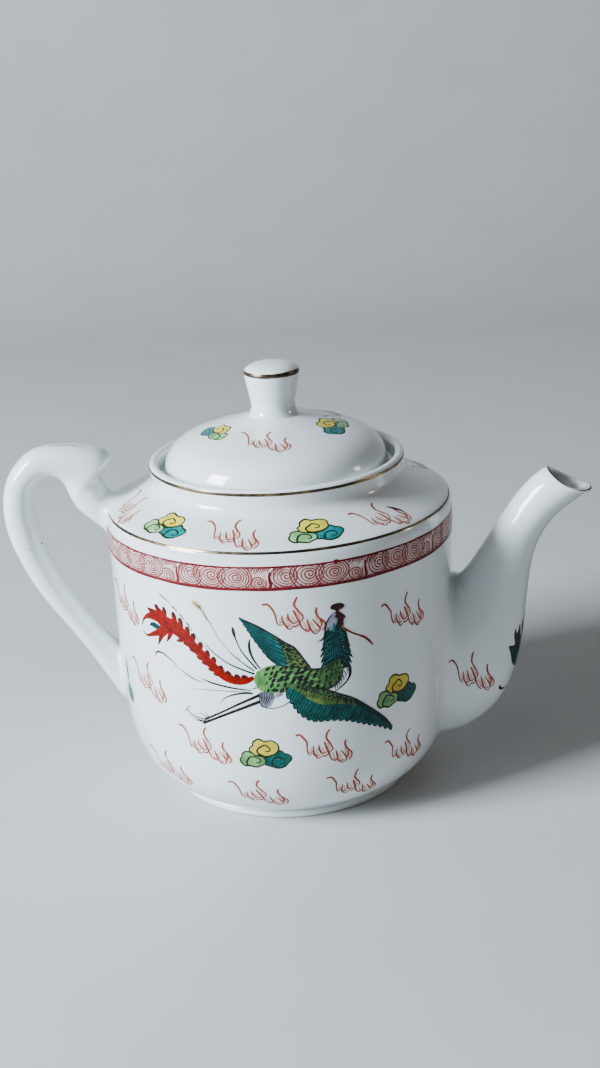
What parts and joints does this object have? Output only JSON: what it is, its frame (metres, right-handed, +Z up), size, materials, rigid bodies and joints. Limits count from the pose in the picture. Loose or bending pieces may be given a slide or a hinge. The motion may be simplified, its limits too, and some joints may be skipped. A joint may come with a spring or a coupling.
{
  "type": "porcelain teapot",
  "caption": "Cylindrical porcelain teapot with a domed lid, loop handle with thumb rest, S-shaped spout, gilt lines and painted clouds, flames and a long-tailed bird.",
  "frame": {"origin": "centre of the foot ring, on the plane that the teapot stands on", "axes": "+Z up along the pot's axis, handle towards -X, spout towards +X and turned a few degrees towards -Y"},
  "size_m": [0.2302, 0.1372, 0.1717],
  "materials": {
    "porcelain": "gloss",
    "gilding": "satin",
    "enamel": "gloss"
  },
  "bodies": {
    "pot": {"body": "porcelain", "spout": "porcelain", "handle": "porcelain", "rim_gilt_line": "gilding", "shoulder_gilt_line": "gilding", "spout_gilt_lip": "gilding", "border_band": "enamel"},
    "cover": {"lid": "porcelain", "lid_knob": "porcelain", "knob_gilt_line": "gilding"}
  },
  "joints": [
    {"name": "lid_lift", "type": "slide", "parent": "pot", "child": "cover", "axis": [0, 0, 1], "range_m": [0, 0.06]}
  ]
}
